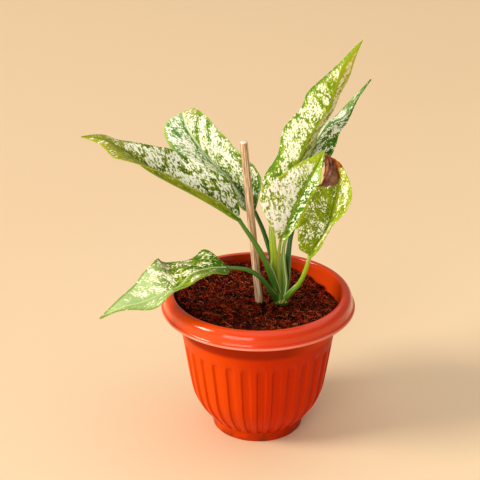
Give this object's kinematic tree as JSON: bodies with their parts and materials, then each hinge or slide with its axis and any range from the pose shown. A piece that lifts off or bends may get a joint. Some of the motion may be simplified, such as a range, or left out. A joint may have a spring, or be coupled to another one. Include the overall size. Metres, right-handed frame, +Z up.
{
  "type": "potted chinese evergreen",
  "caption": "Variegated chinese evergreen with long green and cream leaves on arching stalks, in a fluted orange-red plastic pot of coco peat with a bamboo stake; a standing house plant.",
  "frame": {"origin": "centre of the pot's flat underside", "axes": "+Z up along the pot's axis; -Y is the side seen in the picture, and the tallest leaves lean to +X"},
  "size_m": [0.2849, 0.2036, 0.4112],
  "materials": {
    "pot_plastic": "glossy moulded plastic",
    "coco_peat": "rough loose fibre",
    "bamboo": "dry split cane",
    "leaf": "satin leaf, cream blotches on green",
    "stalk": "smooth fleshy stalk",
    "dry_leaf": "dead dry leaf"
  },
  "bodies": {
    "root": {"pot": "pot_plastic", "soil": "coco_peat", "stake": "bamboo", "crown": "stalk", "petiole_a": "stalk", "petiole_b": "stalk", "petiole_c": "stalk", "petiole_d": "stalk", "petiole_e": "stalk", "petiole_f": "stalk", "petiole_g": "stalk", "young_shoot": "stalk", "leaf_a": "leaf", "leaf_b": "leaf", "leaf_c": "leaf", "leaf_d": "leaf", "leaf_e": "leaf", "leaf_f": "leaf", "leaf_g": "leaf", "dry_tip_g": "dry_leaf"}
  },
  "joints": []
}
